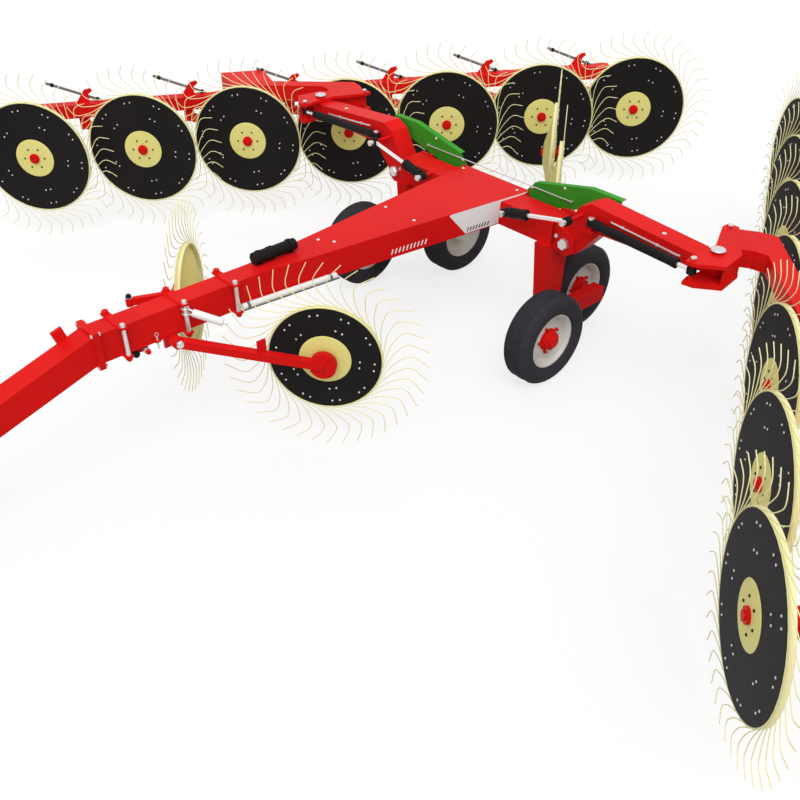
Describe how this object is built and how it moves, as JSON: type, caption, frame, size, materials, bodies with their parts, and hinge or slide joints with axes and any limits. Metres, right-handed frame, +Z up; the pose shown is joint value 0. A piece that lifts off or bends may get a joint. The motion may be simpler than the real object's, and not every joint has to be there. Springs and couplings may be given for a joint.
{
  "type": "wheel hay rake",
  "caption": "Towed V-shaped hay rake with two swinging banks of tined finger wheels, folding wings, kicker wheels and a tandem-wheeled frame.",
  "frame": {"origin": "on the ground under the middle of the machine's outline", "axes": "+X forward along the drawbar, +Y to the machine's left, +Z up"},
  "size_m": [8.4701, 8.7054, 1.4524],
  "materials": {
    "red_paint": "gloss enamel",
    "cream_paint": "satin enamel",
    "black_paint": "satin enamel",
    "green_paint": "gloss enamel",
    "rim_silver": "silver paint",
    "zinc": "zinc plated",
    "chrome_rod": "hard chrome",
    "tyre": "matte rubber"
  },
  "bodies": {
    "frame": {"main_frame": "red_paint", "drawbar": "red_paint", "guards": "green_paint"},
    "jack": {"jack_leg": "zinc"},
    "wing_left": {"wing_arm_left": "red_paint"},
    "bank_left": {"bank_left": "red_paint"},
    "kicker_arm_left": {"kicker_arm_left": "red_paint"},
    "fold_barrel_left": {"fold_barrel_left": "black_paint"},
    "fold_rod_left": {"fold_rod_left": "chrome_rod"},
    "swing_barrel_left": {"swing_barrel_left": "black_paint"},
    "swing_rod_left": {"swing_rod_left": "chrome_rod"},
    "wheel_left_front": {"tyre_left_front": "tyre", "rim_left_front": "rim_silver"},
    "wheel_left_rear": {"tyre_left_rear": "tyre", "rim_left_rear": "rim_silver"},
    "rake_left_1": {"fingers_left_1": "cream_paint", "disc_left_1": "black_paint"},
    "rake_left_2": {"fingers_left_2": "cream_paint", "disc_left_2": "black_paint"},
    "rake_left_3": {"fingers_left_3": "cream_paint", "disc_left_3": "black_paint"},
    "rake_left_4": {"fingers_left_4": "cream_paint", "disc_left_4": "black_paint"},
    "rake_left_5": {"fingers_left_5": "cream_paint", "disc_left_5": "black_paint"},
    "rake_left_6": {"fingers_left_6": "cream_paint", "disc_left_6": "black_paint"},
    "rake_left_7": {"fingers_left_7": "cream_paint", "disc_left_7": "black_paint"},
    "kicker_left": {"kicker_fingers_left": "cream_paint", "kicker_disc_left": "black_paint"},
    "wing_right": {"wing_arm_right": "red_paint"},
    "bank_right": {"bank_right": "red_paint"},
    "kicker_arm_right": {"kicker_arm_right": "red_paint"},
    "fold_barrel_right": {"fold_barrel_right": "black_paint"},
    "fold_rod_right": {"fold_rod_right": "chrome_rod"},
    "swing_barrel_right": {"swing_barrel_right": "black_paint"},
    "swing_rod_right": {"swing_rod_right": "chrome_rod"},
    "wheel_right_front": {"tyre_right_front": "tyre", "rim_right_front": "rim_silver"},
    "wheel_right_rear": {"tyre_right_rear": "tyre", "rim_right_rear": "rim_silver"},
    "rake_right_1": {"fingers_right_1": "cream_paint", "disc_right_1": "black_paint"},
    "rake_right_2": {"fingers_right_2": "cream_paint", "disc_right_2": "black_paint"},
    "rake_right_3": {"fingers_right_3": "cream_paint", "disc_right_3": "black_paint"},
    "rake_right_4": {"fingers_right_4": "cream_paint", "disc_right_4": "black_paint"},
    "rake_right_5": {"fingers_right_5": "cream_paint", "disc_right_5": "black_paint"},
    "rake_right_6": {"fingers_right_6": "cream_paint", "disc_right_6": "black_paint"},
    "rake_right_7": {"fingers_right_7": "cream_paint", "disc_right_7": "black_paint"},
    "kicker_right": {"kicker_fingers_right": "cream_paint", "kicker_disc_right": "black_paint"},
    "rear_kicker_1": {"rear_kicker_1": "cream_paint"},
    "rear_kicker_2": {"rear_kicker_2": "cream_paint"}
  },
  "joints": [
    {"name": "jack_slide", "type": "slide", "parent": "frame", "child": "jack", "axis": [0, 0, 1], "range_m": [0, 0.28]},
    {"name": "fold_left", "type": "hinge", "parent": "frame", "child": "wing_left", "pos_m": [-0.792, 0.886, 0.913], "axis": [1, 0, 0], "range_deg": [0, 30]},
    {"name": "swing_left", "type": "hinge", "parent": "wing_left", "child": "bank_left", "pos_m": [-0.792, 1.979, 1.16], "axis": [0, 0, -1], "range_deg": [0, 22]},
    {"name": "kicker_lift_left", "type": "hinge", "parent": "frame", "child": "kicker_arm_left", "pos_m": [1.95, 0.145, 0.868], "axis": [0, 1, 0], "range_deg": [0, 35]},
    {"name": "fold_turn_left", "type": "hinge", "parent": "frame", "child": "fold_barrel_left", "pos_m": [-0.56, 0.436, 1.034], "axis": [1, 0, 0], "range_deg": [0, 6.06]},
    {"name": "fold_stroke_left", "type": "slide", "parent": "fold_barrel_left", "child": "fold_rod_left", "axis": [0, 0.9785, 0.206], "range_m": [-0.1254, 0]},
    {"name": "swing_turn_left", "type": "hinge", "parent": "wing_left", "child": "swing_barrel_left", "pos_m": [-0.67, 1.1, 1.143], "axis": [0, 0, -1], "range_deg": [-1.72, 0]},
    {"name": "swing_stroke_left", "type": "slide", "parent": "swing_barrel_left", "child": "swing_rod_left", "axis": [0.0854, 0.9963, 0], "range_m": [-0.0731, 0]},
    {"name": "wheel_left_front_spin", "type": "hinge", "parent": "frame", "child": "wheel_left_front", "pos_m": [-0.411, 1.008, 0.3325], "axis": [0, 1, 0], "continuous": true},
    {"name": "wheel_left_rear_spin", "type": "hinge", "parent": "frame", "child": "wheel_left_rear", "pos_m": [-1.16, 0.65, 0.3325], "axis": [0, 1, 0], "continuous": true},
    {"name": "rake_left_1_spin", "type": "hinge", "parent": "bank_left", "child": "rake_left_1", "pos_m": [-3.7, 0.84, 0.732], "axis": [0.7059, -0.7083, 0], "continuous": true},
    {"name": "rake_left_2_spin", "type": "hinge", "parent": "bank_left", "child": "rake_left_2", "pos_m": [-2.88803, 1.29752, 0.732], "axis": [0.7059, -0.7083, 0], "continuous": true},
    {"name": "rake_left_3_spin", "type": "hinge", "parent": "bank_left", "child": "rake_left_3", "pos_m": [-2.07606, 1.75504, 0.732], "axis": [0.7059, -0.7083, 0], "continuous": true},
    {"name": "rake_left_4_spin", "type": "hinge", "parent": "bank_left", "child": "rake_left_4", "pos_m": [-1.26409, 2.21257, 0.732], "axis": [0.7059, -0.7083, 0], "continuous": true},
    {"name": "rake_left_5_spin", "type": "hinge", "parent": "bank_left", "child": "rake_left_5", "pos_m": [-0.45211, 2.67009, 0.732], "axis": [0.7059, -0.7083, 0], "continuous": true},
    {"name": "rake_left_6_spin", "type": "hinge", "parent": "bank_left", "child": "rake_left_6", "pos_m": [0.35986, 3.12761, 0.732], "axis": [0.7059, -0.7083, 0], "continuous": true},
    {"name": "rake_left_7_spin", "type": "hinge", "parent": "bank_left", "child": "rake_left_7", "pos_m": [1.17183, 3.58513, 0.732], "axis": [0.7059, -0.7083, 0], "continuous": true},
    {"name": "kicker_left_spin", "type": "hinge", "parent": "kicker_arm_left", "child": "kicker_left", "pos_m": [1.22, 0.63, 0.667], "axis": [0.7373, 0.6756, 0], "continuous": true},
    {"name": "fold_right", "type": "hinge", "parent": "frame", "child": "wing_right", "pos_m": [-0.792, -0.886, 0.913], "axis": [-1, 0, 0], "range_deg": [0, 30]},
    {"name": "swing_right", "type": "hinge", "parent": "wing_right", "child": "bank_right", "pos_m": [-0.792, -1.979, 1.16], "axis": [0, 0, 1], "range_deg": [0, 22]},
    {"name": "kicker_lift_right", "type": "hinge", "parent": "frame", "child": "kicker_arm_right", "pos_m": [2.16, -0.145, 0.868], "axis": [0, 1, 0], "range_deg": [0, 35]},
    {"name": "fold_turn_right", "type": "hinge", "parent": "frame", "child": "fold_barrel_right", "pos_m": [-0.56, -0.436, 1.034], "axis": [-1, 0, 0], "range_deg": [0, 6.06]},
    {"name": "fold_stroke_right", "type": "slide", "parent": "fold_barrel_right", "child": "fold_rod_right", "axis": [0, -0.9785, 0.206], "range_m": [-0.1254, 0]},
    {"name": "swing_turn_right", "type": "hinge", "parent": "wing_right", "child": "swing_barrel_right", "pos_m": [-0.67, -1.1, 1.143], "axis": [0, 0, 1], "range_deg": [-1.72, 0]},
    {"name": "swing_stroke_right", "type": "slide", "parent": "swing_barrel_right", "child": "swing_rod_right", "axis": [0.0854, -0.9963, 0], "range_m": [-0.0731, 0]},
    {"name": "wheel_right_front_spin", "type": "hinge", "parent": "frame", "child": "wheel_right_front", "pos_m": [-0.411, -1.008, 0.3325], "axis": [0, 1, 0], "continuous": true},
    {"name": "wheel_right_rear_spin", "type": "hinge", "parent": "frame", "child": "wheel_right_rear", "pos_m": [-1.16, -0.65, 0.3325], "axis": [0, 1, 0], "continuous": true},
    {"name": "rake_right_1_spin", "type": "hinge", "parent": "bank_right", "child": "rake_right_1", "pos_m": [-3.7, -0.84, 0.732], "axis": [0.7059, 0.7083, 0], "continuous": true},
    {"name": "rake_right_2_spin", "type": "hinge", "parent": "bank_right", "child": "rake_right_2", "pos_m": [-2.88803, -1.29752, 0.732], "axis": [0.7059, 0.7083, 0], "continuous": true},
    {"name": "rake_right_3_spin", "type": "hinge", "parent": "bank_right", "child": "rake_right_3", "pos_m": [-2.07606, -1.75504, 0.732], "axis": [0.7059, 0.7083, 0], "continuous": true},
    {"name": "rake_right_4_spin", "type": "hinge", "parent": "bank_right", "child": "rake_right_4", "pos_m": [-1.26409, -2.21257, 0.732], "axis": [0.7059, 0.7083, 0], "continuous": true},
    {"name": "rake_right_5_spin", "type": "hinge", "parent": "bank_right", "child": "rake_right_5", "pos_m": [-0.45211, -2.67009, 0.732], "axis": [0.7059, 0.7083, 0], "continuous": true},
    {"name": "rake_right_6_spin", "type": "hinge", "parent": "bank_right", "child": "rake_right_6", "pos_m": [0.35986, -3.12761, 0.732], "axis": [0.7059, 0.7083, 0], "continuous": true},
    {"name": "rake_right_7_spin", "type": "hinge", "parent": "bank_right", "child": "rake_right_7", "pos_m": [1.17183, -3.58513, 0.732], "axis": [0.7059, 0.7083, 0], "continuous": true},
    {"name": "kicker_right_spin", "type": "hinge", "parent": "kicker_arm_right", "child": "kicker_right", "pos_m": [1.43, -0.63, 0.667], "axis": [0.7373, -0.6756, 0], "continuous": true},
    {"name": "rear_kicker_1_spin", "type": "hinge", "parent": "frame", "child": "rear_kicker_1", "pos_m": [-1.665, 0.001, 0.702], "axis": [-0.628, 0.7782, 0], "continuous": true},
    {"name": "rear_kicker_2_spin", "type": "hinge", "parent": "frame", "child": "rear_kicker_2", "pos_m": [-2.335, -0.641, 0.702], "axis": [-0.628, 0.7782, 0], "continuous": true}
  ],
  "couplings": [
    {"joint": "fold_turn_left", "follows": "fold_left", "ratio": 0.198},
    {"joint": "fold_stroke_left", "follows": "fold_left", "m_per_rad": -0.23486},
    {"joint": "swing_turn_left", "follows": "swing_left", "ratio": -0.07654},
    {"joint": "swing_stroke_left", "follows": "swing_left", "m_per_rad": -0.18673},
    {"joint": "fold_turn_right", "follows": "fold_right", "ratio": 0.198},
    {"joint": "fold_stroke_right", "follows": "fold_right", "m_per_rad": -0.23486},
    {"joint": "swing_turn_right", "follows": "swing_right", "ratio": -0.07654},
    {"joint": "swing_stroke_right", "follows": "swing_right", "m_per_rad": -0.18673}
  ]
}
